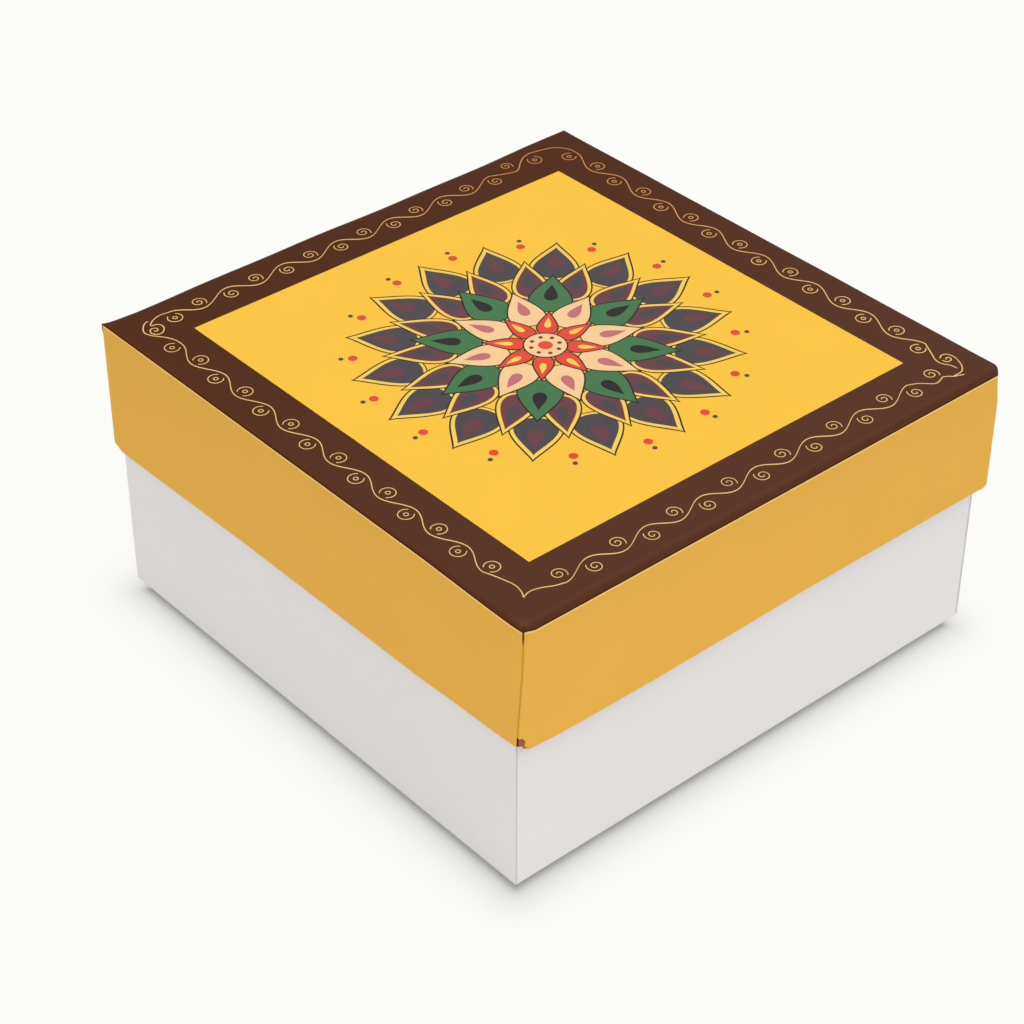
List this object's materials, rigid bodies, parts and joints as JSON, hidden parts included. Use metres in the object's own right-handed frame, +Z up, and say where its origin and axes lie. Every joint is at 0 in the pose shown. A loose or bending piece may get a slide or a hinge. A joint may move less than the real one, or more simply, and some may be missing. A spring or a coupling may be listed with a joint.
{
  "type": "sweet box",
  "caption": "Square folded paperboard sweet box: an open white base and a yellow printed lid with a brown vine border that slips down over it and lifts off.",
  "frame": {"origin": "middle of the base's underside, on the table", "axes": "+X to the right, +Y to the back, +Z up; the front is the wall at the lower edge of the lid's print"},
  "size_m": [0.208, 0.2032, 0.104],
  "materials": {
    "lid_top_print": "satin",
    "lid_wall_print": "satin",
    "lid_tab_print": "satin",
    "lid_lining_board": "matte",
    "base_board": "matte",
    "base_floor_board": "matte"
  },
  "bodies": {
    "base": {"base_floor_panel": "base_floor_board", "base_front_wall": "base_board", "base_back_wall": "base_board", "base_left_wall": "base_board", "base_right_wall": "base_board", "base_front_lining": "base_board", "base_back_lining": "base_board", "base_left_lining": "base_board", "base_right_lining": "base_board", "base_front_left_tab": "base_board", "base_front_right_tab": "base_board", "base_back_left_tab": "base_board", "base_back_right_tab": "base_board"},
    "lid": {"lid_top_panel": "lid_top_print", "lid_front_wall": "lid_wall_print", "lid_back_wall": "lid_wall_print", "lid_left_wall": "lid_wall_print", "lid_right_wall": "lid_wall_print", "lid_front_lining": "lid_lining_board", "lid_back_lining": "lid_lining_board", "lid_left_lining": "lid_lining_board", "lid_right_lining": "lid_lining_board", "lid_front_left_tab": "lid_tab_print", "lid_front_right_tab": "lid_tab_print", "lid_back_left_tab": "lid_tab_print", "lid_back_right_tab": "lid_tab_print"}
  },
  "joints": [
    {"name": "lid_lift", "type": "slide", "parent": "base", "child": "lid", "axis": [0, 0, 1], "range_m": [0, 0.15]}
  ]
}
